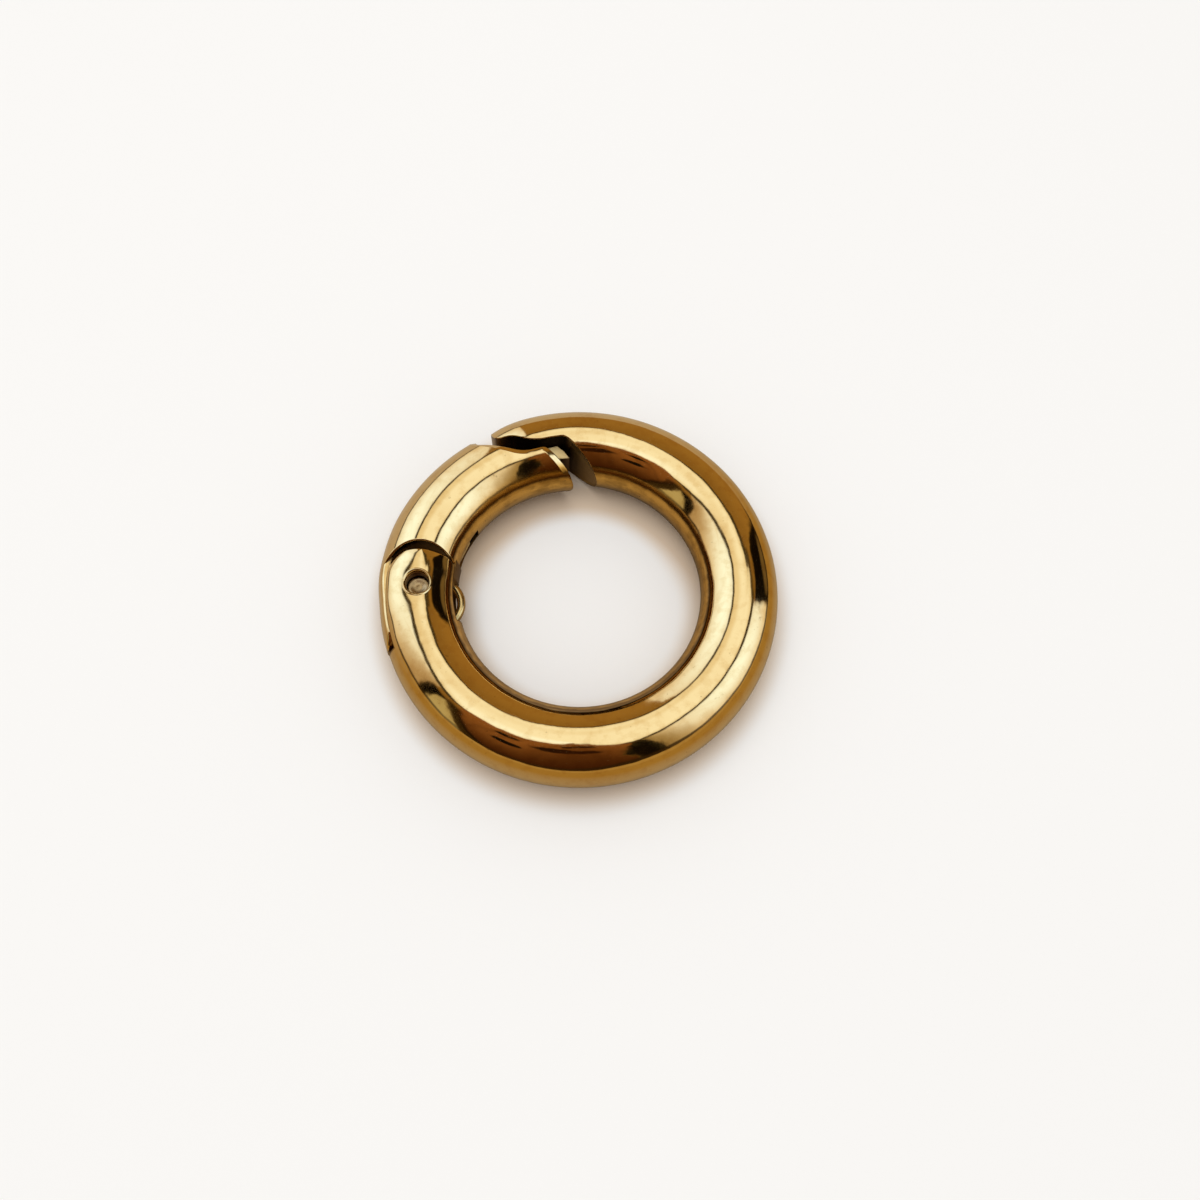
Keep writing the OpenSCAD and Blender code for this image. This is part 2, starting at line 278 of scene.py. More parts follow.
def weld(name, grids, sharpDeg=50):
    # one closed mesh from grids of points: points that meet become one, and so the seams close
    # each grid comes with normals where its skin is known, and with a share of cut wall from nought to one,
    # where the gold is rougher and painted darker as shade
    places, normals, walls, quads, start = [], [], [], [], 0
    for points, known, wall in grids:
        m, n = points.shape[:2]
        index = np.arange(m * n).reshape(m, n) + start
        here, after = index[:-1], index[1:]
        quads.append(np.stack([here[:, :-1], after[:, :-1], after[:, 1:], here[:, 1:]], -1).reshape(-1, 4))
        places.append(points.reshape(-1, 3))
        normals.append(np.zeros((m * n, 3)) if known is None else known.reshape(-1, 3))
        walls.append(np.broadcast_to(wall, (m, n)).reshape(-1))
        start += m * n
    places, normals, walls, quads = (np.concatenate(part) for part in (places, normals, walls, quads))
    keys = np.round(places / 2e-4).astype(np.int64)
    _, first, same = np.unique(keys, axis=0, return_index=True, return_inverse=True)
    same = same.reshape(-1)
    known = np.zeros((len(first), 3))
    has = np.abs(normals).sum(1) > 0
    known[same[has]] = normals[has]
    shade = np.zeros(len(first))
    np.maximum.at(shade, same, walls)
    # a face keeps its distinct corners, and goes where fewer than three are left
    corners = same[quads]
    distinct = corners != np.roll(corners, 1, axis=1)
    good = distinct.sum(1) >= 3
    sides = distinct[good].sum(1)
    mesh = bpy.data.meshes.new(name)
    mesh.vertices.add(len(first))
    mesh.vertices.foreach_set("co", (places[first] * mm).reshape(-1))
    mesh.loops.add(int(sides.sum()))
    mesh.loops.foreach_set("vertex_index", corners[good][distinct[good]])
    mesh.polygons.add(len(sides))
    mesh.polygons.foreach_set("loop_start", np.cumsum(sides) - sides)
    mesh.update(calc_edges=True)
    mesh.attributes.new("cutWall", "FLOAT", "POINT").data.foreach_set("value", shade)
    mesh.attributes.new("skinNormal", "FLOAT_VECTOR", "POINT").data.foreach_set("vector", known.reshape(-1))
    build = bmesh.new()
    build.from_mesh(mesh)
    bmesh.ops.remove_doubles(build, verts=build.verts, dist=4e-4 * mm)
    bmesh.ops.dissolve_degenerate(build, dist=1e-8, edges=build.edges)
    bmesh.ops.recalc_face_normals(build, faces=build.faces)
    build.to_mesh(mesh)
    build.free()
    mesh.shade_smooth()
    mesh.set_sharp_from_angle(angle=math.radians(sharpDeg))
    useSkinNormals(mesh)
    edgeUses = np.bincount(readAll(mesh.loops, "edge_index", kind=int), minlength=len(mesh.edges))
    print(name, len(mesh.polygons), "faces,", int((edgeUses != 2).sum()), "edges not closed")
    return newObject(name, mesh)


def useSkinNormals(mesh):
    # where a skin's own normal is known it is used, so that reflections run smoothly over uneven rows
    known = readAll(mesh.attributes["skinNormal"].data, "vector", 3)
    faceNormals = readAll(mesh.polygons, "normal", 3)
    flat = np.repeat(faceNormals, readAll(mesh.polygons, "loop_total", kind=int), axis=0)
    corner = known[readAll(mesh.loops, "vertex_index", kind=int)]
    agree = (corner * flat).sum(1) > 0.6
    mesh.normals_split_custom_set(np.where(agree[:, None], corner, 0).tolist())
    mesh.attributes.remove(mesh.attributes["skinNormal"])


# The cut that parts the ring's nose from the gate, seen in plan, is a chain of arcs
noseCut = {
    "tipCentre": (-5.40, 10.82), "tipRadius": 1.0,           # the lip's rounded end
    "lipCentre": (-5.464, 6.82), "lipRadius": 3.0,           # the lip's inner face
    "bumpCentre": (-3.332, 11.89), "bumpRadius": 2.5,        # the bump that the gate's shoulder follows
    "hollowCentre": (-1.742, 8.66), "hollowRadius": 1.1,     # the hollow at the bump's foot
    "wallRadius": 13.551,                                    # the slanting wall, round the pin
    "edge": 0.08,                                            # how far its edges are rounded
}

gateCut = {
    "stepCentre": (-6.707, 9.697), "stepRadius": 0.5,        # the step under the lip
    "stepDeg": (198.5, 256.5),
    "shoulderCentre": (-4.051, 10.91), "shoulderRadius": 2.3,
    "cornerCentre": (-2.745, 8.49), "cornerRadius": 0.45,    # the corner above the key
    "endRadius": 12.17,                                      # the slanting end, round the pin
    "edge": 0.09, "bevel": 0.30, "bevelDeg": 22,             # a shallow bevel, then a tight round
}

hinge = {
    "gateEndRadius": 2.74, "gateEdge": 0.11,                 # the gate's hollow end
    "earCrown": 6.5, "earReach": 2.27, "earEdge": 0.10,      # the ears' crowned ends
    "earSwing": 2.70,                                        # the ears' corners stay inside this radius
    "outerSlot": 1.45, "innerSlot": 1.05,                    # half the slot's height, at tail and tongue
    "slotStep": 11.70, "tallEye": 1.70,                      # where the one turns into the other
    "swingNorth": (-0.39, -0.33), "swingEast": (1.44, 1.52),  # and where the tail's corner swings
    "bore": 0.695, "window": 1.33,                           # the pin's hole, and the patch of skin round it
    # the bore's rim: distance from the pin's axis, and rise over the ring's skin
    "rim": [(0.93, 0.0), (0.90, 0.025), (0.86, 0.045), (0.82, 0.04), (0.78, 0.0), (0.75, -0.05),
            (0.72, -0.11), (0.70, -0.18), (0.695, -0.26)],
    # the slot's slanting end: distances from the ring's middle, and its angles there
    "rootReach": (7.65, 9.8, 12.5), "rootDeg": (198.9, 202.3, 203.0),
}


def between(a, b):
    # the direction from one place to another, in degrees
    return math.degrees(math.atan2(b[1] - a[1], b[0] - a[0]))


def noseLine(cut):
    # lip tip, lip face, bump, hollow, slanting wall
    lipTurn = between(cut["lipCentre"], cut["bumpCentre"])
    bumpTurn = between(cut["bumpCentre"], cut["hollowCentre"])
    wallTurn = between(pinPlan, cut["hollowCentre"])
    return np.concatenate([
        planArc(cut["tipCentre"], cut["tipRadius"], 119, 262),
        planArc(cut["lipCentre"], cut["lipRadius"], 91, lipTurn)[1:],
        planArc(cut["bumpCentre"], cut["bumpRadius"], 180 + lipTurn, 360 + bumpTurn)[1:],
        planArc(cut["hollowCentre"], cut["hollowRadius"], 180 + bumpTurn, wallTurn)[1:],
        planArc(pinPlan, cut["wallRadius"], wallTurn, 30)[1:]])


def gateLine(cut):
    # a straight run in, then step, shoulder, corner, slanting end
    shoulderTurn = between(cut["shoulderCentre"], cut["cornerCentre"])
    endTurn = between(pinPlan, cut["cornerCentre"])
    stepFrom, stepTo = cut["stepDeg"]
    step = planArc(cut["stepCentre"], cut["stepRadius"], stepFrom, stepTo)
    return np.concatenate([
        planArc(step[0], 3, stepFrom - 90, stepFrom - 90, 1), step,
        planArc(cut["shoulderCentre"], cut["shoulderRadius"], stepTo, 360 + shoulderTurn),
        planArc(cut["cornerCentre"], cut["cornerRadius"], 180 + shoulderTurn, endTurn)[1:],
        planArc(pinPlan, cut["endRadius"], endTurn, 30)[1:]])


def gateHingeLine():
    # the gate's hollow end: a circle round the pin
    arc = planArc(pinPlan, hinge["gateEndRadius"], 160, 20)
    return np.concatenate([arc[:1] + [[-2.5, 0.0]], arc, arc[-1:] + [[2.5, 0.0]]])


def earLine():
    # the ears' ends: a shallow crown whose corners are cut back to a circle round the pin
    x = np.linspace(-4.2, 4.2, 400)
    crown = hinge["earReach"] - hinge["earCrown"] + np.sqrt(hinge["earCrown"] ** 2 - x ** 2)
    circle = np.sqrt(np.maximum(hinge["earSwing"] ** 2 - x ** 2, 0.0))
    return pinPlan + np.stack([x, np.minimum(crown, circle)], 1)


def rootAngle(reach):
    # the slot's end slants: its angle grows with the distance from the middle of the ring
    return np.interp(reach, hinge["rootReach"], np.radians(hinge["rootDeg"]))


def slotHeight(points):
    # half the slot's height: low round the tongue, tall at the tail and where the tail's corner swings
    x, y = points[..., 0] - pinPlan[0], points[..., 1] - pinPlan[1]
    step, eye = hinge["slotStep"], hinge["tallEye"]
    tail = smoothStep(np.hypot(points[..., 0], points[..., 1]), step - 0.04, step + 0.04)
    swing = (smoothStep(np.hypot(x, y), eye - 0.04, eye + 0.08)
             * smoothStep(y, *hinge["swingNorth"]) * (1 - smoothStep(x, *hinge["swingEast"])))
    return hinge["innerSlot"] + (hinge["outerSlot"] - hinge["innerSlot"]) * np.maximum(tail, swing)


def turnedOver(profile):
    # distances and heights, turned over about the ring's middle plane
    return profile * [1, -1] + [0, 2 * ringTube["middle"]]


def slotSide(phi):
    # the skin's distances and heights beside the slot, from its low edge to its high one
    high = np.stack([ringTube["bend"] + ringTube["radius"] * np.cos(phi),
                     ringTube["middle"] + ringTube["radius"] * np.sin(phi)], 1)
    return np.concatenate([turnedOver(high)[::-1], high[1:]])


def patched(under, over, outer, inner):
    # a patch between four borders: both ruled surfaces added, less the one that the corners span
    u = np.linspace(0, 1, len(over))[:, None, None]
    v = np.linspace(0, 1, len(outer))[None, :, None]
    return ((1 - v) * under[:, None] + v * over[:, None] + (1 - u) * outer[None] + u * inner[None]
            - (1 - u) * (1 - v) * under[0] - (1 - u) * v * over[0]
            - u * (1 - v) * under[-1] - u * v * over[-1])


def ringSkinAt(plan):
    # the ring's top skin over places in plan: their distance from the bend gives phi
    reach = np.hypot(plan[..., 0], plan[..., 1])
    phi = np.arccos(np.clip((reach - ringTube["bend"]) / ringTube["radius"], -1, 1))
    theta = np.arctan2(plan[..., 1], plan[..., 0])
    return tubePoint(ringTube, theta, phi), tubeNormal(ringTube, theta, phi)


def boreGrids(top, below, i1, i2, j1, j2):
    # the skin between a square window and the bore's rim, the rim's rounded profile carried round the pin,
    # the bore, and the flat ring underneath
    loop = ([(i, j1) for i in range(i1, i2)] + [(i2, j) for j in range(j1, j2)]
            + [(i, j2) for i in range(i2, i1, -1)] + [(i1, j) for j in range(j2, j1 - 1, -1)])
    rowsOf, columnsOf = np.array(loop).T
    border = top[rowsOf, columnsOf]
    away = border[:, :2] - pinPlan
    away /= np.linalg.norm(away, axis=1)[:, None]
    rim = np.array(hinge["rim"])
    skin, skinNormals = ringSkinAt(straight(border[:, :2], pinPlan + away * rim[0, 0], 7))
    skin[:, 0] = border
    lip = ringSkinAt(pinPlan + away[:, None] * rim[:, :1])[0]
    lip[..., 2] += rim[:, 1]
    foot = lip[:, -1].copy()
    foot[:, 2] = ringTube["middle"] + hinge["innerSlot"]
    return [(skin, skinNormals, 0.0), (lip, None, 0.3), (straight(lip[:, -1], foot, 6), None, 1.0),
            (straight(foot, below[rowsOf, columnsOf], 4), None, 1.0)]


def ringBody():
    # rows run over the top from the outer side to the inner: slot, ear, slot
    tube, middle, columns = ringTube, ringTube["middle"], 44
    slotRows, earRows = 9, 41
    outerPhi = math.asin(hinge["outerSlot"] / tube["radius"])
    innerPhi = math.pi - math.asin(hinge["innerSlot"] / tube["radius"])
    midPhi = np.r_[np.linspace(0, outerPhi, slotRows)[:-1], np.linspace(outerPhi, innerPhi, earRows),
                   np.linspace(innerPhi, math.pi, slotRows)[1:]]
    ear = slice(slotRows - 1, slotRows - 1 + earRows)

    # from the slot's end round the long way to the nose
    nose = cutRows(tube, noseLine(noseCut), rows=len(midPhi))
    start, endPoints, endNormals = roundedEnd(tube, *nose, endProfile(noseCut["edge"], 7), -1)
    root = rootAngle(tube["bend"] + tube["radius"] * np.cos(midPhi))
    skin, skinNormals = stretches(
        tube, [(root - 2 * math.pi, midPhi), (math.radians(52), midPhi), (math.radians(78), start[1]), start],
        [np.linspace(0, 1, 230), np.linspace(0, 1, 28)[1:], np.linspace(0, 1, 60)[1:-1]])
    skin = np.concatenate([skin, endPoints], 1)
    skinNormals = np.concatenate([skinNormals, endNormals], 1)
    # back underneath to close it
    skin = np.concatenate([skin, mirrored(skin[-2:0:-1], middle), skin[:1]])
    skinNormals = np.concatenate([skinNormals, skinNormals[-2:0:-1] * [1, 1, -1], skinNormals[:1]])
    grids = [(skin, skinNormals, 0.0), (uprightEnd(endPoints[:, -1], middle), None, 1.0)]

    # the ears
    earTheta, _ = cutRows(tube, earLine(), phiWanted=midPhi)
    first, tipPoints, tipNormals = roundedEnd(tube, earTheta, midPhi, endProfile(hinge["earEdge"], 6), 1)
    t = np.linspace(0, 1, columns)[None, :-1]
    topTheta = root[ear, None] * (1 - t) + first[0][ear, None] * t
    topPhi = midPhi[ear, None] * (1 - t) + first[1][ear, None] * t
    top = np.concatenate([tubePoint(tube, topTheta, topPhi), tipPoints[ear]], 1)
    topNormals = np.concatenate([tubeNormal(tube, topTheta, topPhi), tipNormals[ear]], 1)
    below = top.copy()
    below[..., 2] = middle + slotHeight(top)
    # the skin runs out at the slot's edges, and is never thinner than this between them
    least = np.full((earRows, 1), 0.02)
    least[[0, -1]] = 0
    top[..., 2] = np.maximum(top[..., 2], below[..., 2] + least)
    top[[0, -1], :, 2] = below[[0, -1], :, 2]
    # a window of the ear's grid round the pin gives way to the bore
    distance = np.hypot(top[..., 0] - pinPlan[0], top[..., 1] - pinPlan[1])
    near = np.argwhere(distance[:, :columns - 1] < hinge["window"])
    (i1, j1), (i2, j2) = near.min(0), near.max(0)
    around = (np.s_[:i1 + 1], np.s_[i2:], np.s_[i1:i2 + 1, :j1 + 1], np.s_[i1:i2 + 1, j2:])
    upper = [(top[part], topNormals[part], 0.0) for part in around]
    upper += [(below[part], None, 1.0) for part in around]
    upper += boreGrids(top, below, i1, i2, j1, j2)
    upper.append((straight(top[:, -1], below[:, -1], 4), None, 1.0))
    grids += bothHalves(upper, middle)

    # the slot's end, patched between its four borders
    up = below[:, 0]
    over = np.stack([np.hypot(up[:, 0], up[:, 1]), up[:, 2]], 1)
    patch = patched(turnedOver(over), over, slotSide(midPhi[:slotRows]), slotSide(midPhi[-slotRows:][::-1]))
    angle = rootAngle(patch[..., 0])
    face = np.stack([patch[..., 0] * np.cos(angle), patch[..., 0] * np.sin(angle), patch[..., 1]], -1)
    grids.append((face, None, 1.0))
    return weld("ringBodySkin", grids)


gateShape = {
    "channelHalf": 0.35, "channelDeep": 1.405, "channelStart": 150.5,   # the spring's channel
    "tongueHalf": 1.0, "eye": 1.6, "tongueEdge": 0.06,                  # half its height, and its round end
    # the tongue's arm in plan, from the pin, and how far it may reach from the pin and in the ring
    "arm": [(-3, 3.05), (1.2, 3.05), (3, 1.25), (3, 0.85), (2.2, 0.78), (1.45, 0.5), (0, 0.1), (-3, 0.1)],
    "armReach": 3.02, "innerDepth": 2.405, "outerReach": 12.05,
    # the tail strip runs from a place along the bend, before the pin, to an angle past it
    "tailHalf": 1.4, "tailInner": 11.82, "tailFrom": -3.2, "tailEnd": 201.8, "tailCorner": 0.95,
    "tailRise": 0.03, "tailEdge": 0.07, "tailLip": 0.03,
    # the key's heights, and its corners in plan
    "keyLow": 1.42, "keyHigh": 3.51, "keyEdge": 0.09, "keyLean": 0.14, "keyCentre": (-1.95, 9.15),
    "key": [(-2.86, 9.20), (-2.50, 9.43), (-1.88, 9.65), (-1.40, 9.34), (-1.05, 8.92), (-1.65, 8.80),
            (-2.75, 8.62)],
}


def gateRound():
    # rows over the top half between both ends, and the same underneath
    tube, middle, half, rows = gateTube, gateTube["middle"], gateShape["channelHalf"], 57
    theta, phi = cutRows(tube, gateLine(gateCut), rows=rows)
    noseStart, nosePoints, noseNormals = roundedEnd(
        tube, theta, phi, endProfile(gateCut["edge"], 7, gateCut["bevel"], gateCut["bevelDeg"]), 1,
        1 - 0.7 * smoothStep(np.degrees(phi), 147, 152))
    hollow = cutRows(tube, gateHingeLine(), rows=rows)
    hingeStart, hingePoints, hingeNormals = roundedEnd(tube, *hollow, endProfile(hinge["gateEdge"], 7), -1)
    points, normals = stretches(
        tube, [noseStart, (math.radians(133), noseStart[1]), (math.radians(146), hingeStart[1]), hingeStart],
        [np.linspace(0, 1, 64)[1:] ** 1.3, np.linspace(0, 1, 16)[1:], np.linspace(0, 1, 50)[1:-1]])
    points = np.concatenate([nosePoints[:, ::-1], points, hingePoints], 1)
    normals = np.concatenate([noseNormals[:, ::-1], normals, hingeNormals], 1)
    # the spring's channel: its roof has the skin's own plan, at a level height
    over = math.asin(half / tube["radius"])
    roofIn = int(np.argmin(np.abs(hingeStart[1] - (math.pi - over))))
    roofOut = int(np.argmin(np.abs(np.cos(hingeStart[1]) + gateShape["channelDeep"] / tube["radius"])))
    angle = np.arctan2(points[-1, :, 1], points[-1, :, 0]) % (2 * math.pi)
    first = int(np.argmax(angle > math.radians(gateShape["channelStart"])))
    points[roofIn, first:, 2] = middle + half
    roof = points[roofOut:roofIn + 1, first:].copy()
    roof[..., 2] = middle + half
    mouth = np.concatenate([roof[:, 0], points[roofIn + 1:, first]])
    grids = bothHalves([(points[:roofIn + 1], normals[:roofIn + 1], 0.0),
                        (points[roofIn:, :first + 1], normals[roofIn:, :first + 1], 0.0)], middle)
    grids += bothHalves([(roof, None, 1.0)], middle)
    grids += [(uprightEnd(roof[0], middle, 5), None, 1.0), (uprightEnd(mouth, middle, 5), None, 1.0),
              (uprightEnd(nosePoints[:, -1], middle), None, 1.0)]
    # the hollow end: whole height outside the channel, above and below it further in
    border = points[:, -1]
    side = border[:roofOut + 1]
    sideLow = side.copy()
    sideLow[:, 2] = np.minimum(side[:, 2], middle + half * smoothStep(np.arange(roofOut + 1), 0, roofOut))
    for grid in (straight(border[roofOut:roofIn + 1], roof[:, -1], 5), straight(side, sideLow, 5)):
        grids += bothHalves([(grid, None, 1.0)], middle)
    grids.append((uprightEnd(sideLow, middle, 5), None, 1.0))
    return grids


def slabRows(outer, inner, low, high, edge, middleRows=5):
    # a flat block between two plan outlines with the same number of points, its outer edges rounded: rows run
    # over the top, down the side, back underneath and up the inner wall
    turn = np.linspace(0, np.pi / 2, 4)
    inset = np.r_[edge * (1 - np.sin(turn)), np.zeros(middleRows), edge * (1 - np.cos(turn))]
    side = np.linspace(high - edge, low + edge, middleRows + 2)[1:-1]
    height = np.r_[high - edge * (1 - np.cos(turn)), side, low + edge * (1 - np.sin(turn))]
    away = outer - inner
    away /= np.linalg.norm(away, axis=1)[:, None]
    rows = [np.c_[outer - away * i, np.full(len(outer), h)] for i, h in zip(inset, height)]
    top, foot = (np.c_[inner, np.full(len(inner), h)] for h in (high, low))
    return np.stack([top, *rows, foot], 1)


def closedLoop(grid):
    # the first row once more at the end
    return np.concatenate([grid, grid[:1]], 0)


def tongueGrid():
    # round the pin by angle, as far as the eye or the arm that runs up into the gate's hollow end
    a = np.linspace(0, 2 * np.pi, 241)[:-1]
    heading = np.stack([np.cos(a), np.sin(a)], 1)
    arm = np.array(gateShape["arm"])
    side = np.roll(arm, -1, axis=0) - arm
    cross = heading[:, None, 0] * side[None, :, 1] - heading[:, None, 1] * side[None, :, 0]
    cross = np.where(np.abs(cross) < 1e-9, 1e-9, cross)
    far = (arm[None, :, 0] * side[None, :, 1] - arm[None, :, 1] * side[None, :, 0]) / cross
    along = (arm[None, :, 0] * heading[:, None, 1] - arm[None, :, 1] * heading[:, None, 0]) / cross
    reach = np.where((along >= 0) & (along <= 1) & (far > 0), far, 0).max(1)
    reach = np.clip(np.maximum(reach, gateShape["eye"]), 0, gateShape["armReach"])
    outer = pinPlan + heading * reach[:, None]
    inner = pinPlan + heading * hinge["bore"]
    middle, half = ringTube["middle"], gateShape["tongueHalf"]
    rows = slabRows(outer, inner, middle - half, middle + half, gateShape["tongueEdge"])
    # nothing may stand proud of the ring's own inner and outer skin
    depth = np.sqrt(gateShape["innerDepth"] ** 2 - (rows[..., 2] - middle) ** 2)
    ringReach = np.hypot(rows[..., 0], rows[..., 1])
    kept = np.clip(ringReach, ringTube["bend"] - depth, gateShape["outerReach"])
    rows[..., :2] *= (kept / ringReach)[..., None]
    rows = np.concatenate([rows, rows[:, :1]], 1)
    return [(closedLoop(rows), None, 0.8)]


def tailGrid():
    # an upright strip with a round outer side, carried along the ring's own arc past the pin
    shape, middle, bend = gateShape, ringTube["middle"], ringTube["bend"]
    tip = bend * math.sin(math.radians(shape["tailEnd"] - pinDeg))
    corner = shape["tailCorner"]
    a = np.linspace(0, np.pi / 2, 14)
    run = np.r_[np.linspace(shape["tailFrom"], tip - corner, 60)[:-1], tip - corner + corner * np.sin(a)]
    half = np.r_[np.full(59, shape["tailHalf"]), shape["tailHalf"] - corner + corner * np.cos(a)]
    theta = math.radians(pinDeg) + np.arcsin(run / bend)
    v = np.linspace(-1, 1, 17)
    height = half[:, None] * v[None, :]
    # its skin starts out as the gate's own, and eases into the ring's
    cx, cy = tubeCentre(gateTube, theta)
    join = 1 - smoothStep(run, -1.2, 0.8)
    rise = shape["tailRise"] * (1 - join) + (0.035 * smoothStep(run, -3.15, -2.98) - 0.02) * join
    skin = (bend + join * (cx * np.cos(theta) + cy * np.sin(theta)))[:, None] + np.sqrt(
        (gateTube["radius"] + rise)[:, None] ** 2 - height ** 2)
    skin -= shape["tailEdge"] * smoothStep(np.abs(v), 0.93, 1.0)[None, :]
    inner = np.full_like(height, shape["tailInner"])
    lips = skin[:, -1:] - shape["tailLip"]
    across = np.concatenate([skin, lips, inner[:, ::-1], lips, skin[:, :1]], 1)
    up = np.concatenate([height, height[:, -1:], height[:, ::-1], height[:, :1], height[:, :1]], 1) + middle
    side = np.stack([across * np.cos(theta)[:, None], across * np.sin(theta)[:, None], up], -1)
    flat = np.zeros(side.shape[1])
    # its flat faces count as cut wall, so they get the walls' rougher plating and painted shade
    flat[len(v) + 1:-2] = 0.75
    grids = [(side, None, flat[None, :])]
    # both ends are closed by straight lines from the outer side to the inner
    for k in (0, -1):
        reach = np.stack([skin[k], skin[k] - shape["tailLip"], inner[k]])
        end = np.stack([reach * math.cos(theta[k]), reach * math.sin(theta[k]),
                        np.broadcast_to(height[k] + middle, reach.shape)], -1)
        grids.append((end, None, 0.5))
    return grids


def keyGrid():
    # the small block on the slanting end, given by its corners in plan; its top leans down to the right
    outline = evenLine(closedLoop(np.array(gateShape["key"])), 97)[:-1]
    centre = np.array(gateShape["keyCentre"])
    inner = centre + (outline - centre) * 1e-3
    rows = slabRows(outline, inner, gateShape["keyLow"], gateShape["keyHigh"], gateShape["keyEdge"])
    rows[:, [0, -1], :2] = centre
    upper = smoothStep(rows[..., 2], 2.6, 3.3)
    rows[..., 2] += upper * gateShape["keyLean"] * (rows[..., 1] - 9.3 - (rows[..., 0] + 1.9))
    ground = 1 + np.broadcast_to(np.arange(rows.shape[1]) < 4, rows.shape[:2])
    return [(closedLoop(rows), None, closedLoop(ground.astype(float)))]


def gateArm():
    return weld("gateSkin", gateRound() + tongueGrid() + tailGrid() + keyGrid())


pinShape = {
    # distance from the axis and height of its profile, with a slightly dished upper end
    "profile": [(0, 0.36), (0.48, 0.35), (0.58, 0.40), (0.65, 0.52), (0.65, 3.90), (0.64, 3.94),
                (0.61, 3.955), (0.52, 3.95), (0.36, 3.90), (0.20, 3.86), (0.08, 3.88), (0, 3.885)],
}


def hingePin():
    # a profile turned round the pin's axis
    profile = evenLine(np.array(pinShape["profile"]), 60)
    a = np.linspace(0, 2 * np.pi, 65)[:, None]
    grid = np.stack([pinPlan[0] + profile[:, 0] * np.cos(a), pinPlan[1] + profile[:, 0] * np.sin(a),
                     np.broadcast_to(profile[:, 1], (65, 60))], -1)
    return weld("pinSkin", [(grid, None, 0.0)], 35)


springShape = {
    "wire": 0.265, "height": 2.445,
    "legEnd": (-7.336, 3.230), "legIn": (-8.357, 0.569),
    "bend": (-7.984, 0.4255), "bendRadius": 0.4,
    "bow": (-8.895, -1.2875), "bowRadius": 1.515,
    "seatIn": (-8.012, -2.549), "seatEnd": (-9.077, -3.295),
}


def springWire():
    # a round wire along a line in plan: leg, bend, bow, leg
    s = springShape
    line = np.concatenate([[s["legEnd"], s["legIn"]], planArc(s["bend"], s["bendRadius"], 159, 242, 24)[1:],
                           planArc(s["bow"], s["bowRadius"], 62, -55, 60)[1:], [s["seatEnd"]]])
    line = evenLine(line, 220)
    heading = np.gradient(line, axis=0)
    heading /= np.linalg.norm(heading, axis=1)[:, None]
    cap = np.sin(np.linspace(0, np.pi / 2, 6))
    wide = np.r_[cap[:-1], np.ones(len(line) - 10), cap[::-1][1:]] * s["wire"]
    a = np.linspace(0, 2 * np.pi, 21)[None, :]
    out = np.stack([-heading[:, 1], heading[:, 0]], 1)
    plan = line[:, None] + out[:, None] * (wide[:, None] * np.cos(a))[..., None]
    grid = np.concatenate([plan, (s["height"] + wide[:, None] * np.sin(a))[..., None]], -1)
    return weld("springSkin", [(grid, None, 0.0)], 60)


print("surfaces ready")


class Shader:
    # a socket that can be used in sums, so that materials read as formulas

    def __init__(self, tree, socket=None):
        self.tree, self.socket = tree, socket

    def node(self, kind, settings=None, inputs=None, output=0):
        made = self.tree.nodes.new("ShaderNode" + kind)
        for key, value in (settings or {}).items():
            setattr(made, key, value)
        for key, value in (inputs or {}).items():
            if isinstance(value, Shader):
                self.tree.links.new(value.socket, made.inputs[key])
            else:
                made.inputs[key].default_value = value
        return Shader(self.tree, made.outputs[output])

    def maths(self, operation, *values):
        return self.node("Math", {"operation": operation}, dict(enumerate(values)))

    def __add__(self, other):
        return self.maths("ADD", self, other)

    def __radd__(self, other):
        return self.maths("ADD", other, self)

    def __sub__(self, other):
        return self.maths("SUBTRACT", self, other)

    def __rsub__(self, other):
        return self.maths("SUBTRACT", other, self)

    def __mul__(self, other):
        return self.maths("MULTIPLY", self, other)

    def __rmul__(self, other):
        return self.maths("MULTIPLY", other, self)

    def __truediv__(self, other):
        return self.maths("DIVIDE", self, other)

    def __pow__(self, other):
        return self.maths("POWER", self, other)

    def __neg__(self):
        return self.maths("MULTIPLY", self, -1.0)

    def __abs__(self):
        return self.maths("ABSOLUTE", self)

    def ramp(self, low, high):
        # an even S from nought at low to one at high
        return self.node("MapRange", {"interpolation_type": "SMOOTHSTEP"},
                         {"Value": self, "From Min": low, "From Max": high})

    def over(self, edge, soft):
        # nought below an edge, which may itself be a formula, and one above it
        return (self - edge).ramp(-soft, soft)

    def within(self, low, high, softLow, softHigh):
        # one between two edges, and nought beyond them
        return self.over(low, softLow) * (1 - self.over(high, softHigh))

    def brokenLine(self, points):
        # a height that runs straight between the given places
        height = points[0][1] + self * 0
        for (x0, y0), (x1, y1) in zip(points, points[1:]):
            if y0 != y1:
                share = self.node("MapRange", None, {"Value": self, "From Min": x0, "From Max": x1})
                height = height + share * (y1 - y0)
        return height

    def noise(self, scale, detail, rough=0.55):
        # unevenness over this vector
        return self.node("TexNoise", None,
                         {"Vector": self, "Scale": scale, "Detail": detail, "Roughness": rough})

    def parts(self, count=3, times=1):
        # the first numbers of this vector
        return [self.node("SeparateXYZ", None, {"Vector": self}, k) * times for k in range(count)]

    def vector(self, *values):
        # a vector of up to three numbers
        return self.node("CombineXYZ", None, dict(enumerate(values)))

    def mixColour(self, under, over):
        # this socket is the share of the second colour
        under, over = (c if isinstance(c, Shader) else (*c, 1.0) for c in (under, over))
        return self.node("Mix", {"data_type": "RGBA"}, {0: self, 6: under, 7: over}, 2)


def newMaterial(name):
    material = bpy.data.materials.new(name)
    material.use_nodes = True
    return material, Shader(material.node_tree), material.node_tree.nodes["Principled BSDF"]


